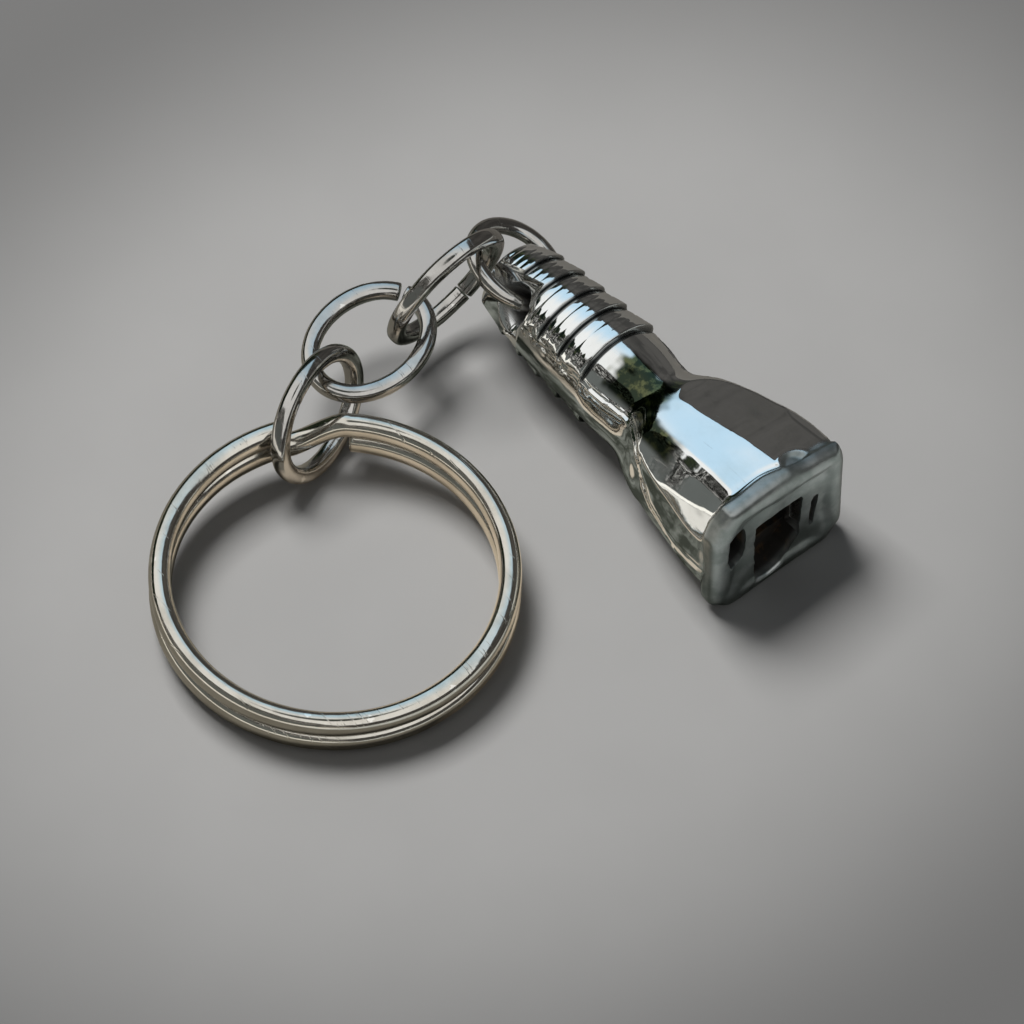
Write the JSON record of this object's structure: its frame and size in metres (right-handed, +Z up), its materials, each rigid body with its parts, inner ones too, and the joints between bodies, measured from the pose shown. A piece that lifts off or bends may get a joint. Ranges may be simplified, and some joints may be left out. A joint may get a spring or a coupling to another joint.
{
  "type": "radiator bleed key",
  "caption": "Cast radiator bleed key with a ribbed grip and a square drive socket, on a short oval-link chain with a coiled split key ring.",
  "frame": {"origin": "centre of the flat floor of the square drive socket, on the key's axis", "axes": "+X along the key from the tail to the socket mouth, +Z up from the surface it lies on, +Y to the left when looking along +X, so the chain and split ring lie on the -Y side"},
  "size_m": [0.0436, 0.0547, 0.0135],
  "materials": {
    "chrome": "polished chrome plate on a zinc casting",
    "nickel": "bright nickel plate on steel wire"
  },
  "bodies": {
    "key": {"key_body": "chrome"},
    "eye": {"eye_ring": "nickel"},
    "link_3": {"chain_link_3": "nickel"},
    "link_2": {"chain_link_2": "nickel"},
    "link_1": {"chain_link_1": "nickel"},
    "ring": {"split_ring": "nickel"}
  },
  "joints": [
    {"name": "eye_swing", "type": "hinge", "parent": "key", "child": "eye", "pos_m": [-0.02081, 0, 0], "axis": [0, 0.8949, -0.4462], "range_deg": [-50, 50]},
    {"name": "link_3_swing", "type": "hinge", "parent": "eye", "child": "link_3", "pos_m": [-0.02815, -0.00139, 0.00301], "axis": [0.5858, -0.784, 0.2053], "range_deg": [-30, 6]},
    {"name": "link_2_swing", "type": "hinge", "parent": "link_3", "child": "link_2", "pos_m": [-0.02676, -0.01145, -0.00056], "axis": [0.1644, -0.3387, 0.9264], "range_deg": [-55, 26]},
    {"name": "link_1_swing", "type": "hinge", "parent": "link_2", "child": "link_1", "pos_m": [-0.02792, -0.01985, -0.00023], "axis": [0.96, -0.2515, -0.1229], "range_deg": [-55, 38]},
    {"name": "ring_swing", "type": "hinge", "parent": "link_1", "child": "ring", "pos_m": [-0.02298, -0.02751, -0.00121], "axis": [-0.3146, 0.0033, 0.9492], "range_deg": [-16, 4]}
  ]
}
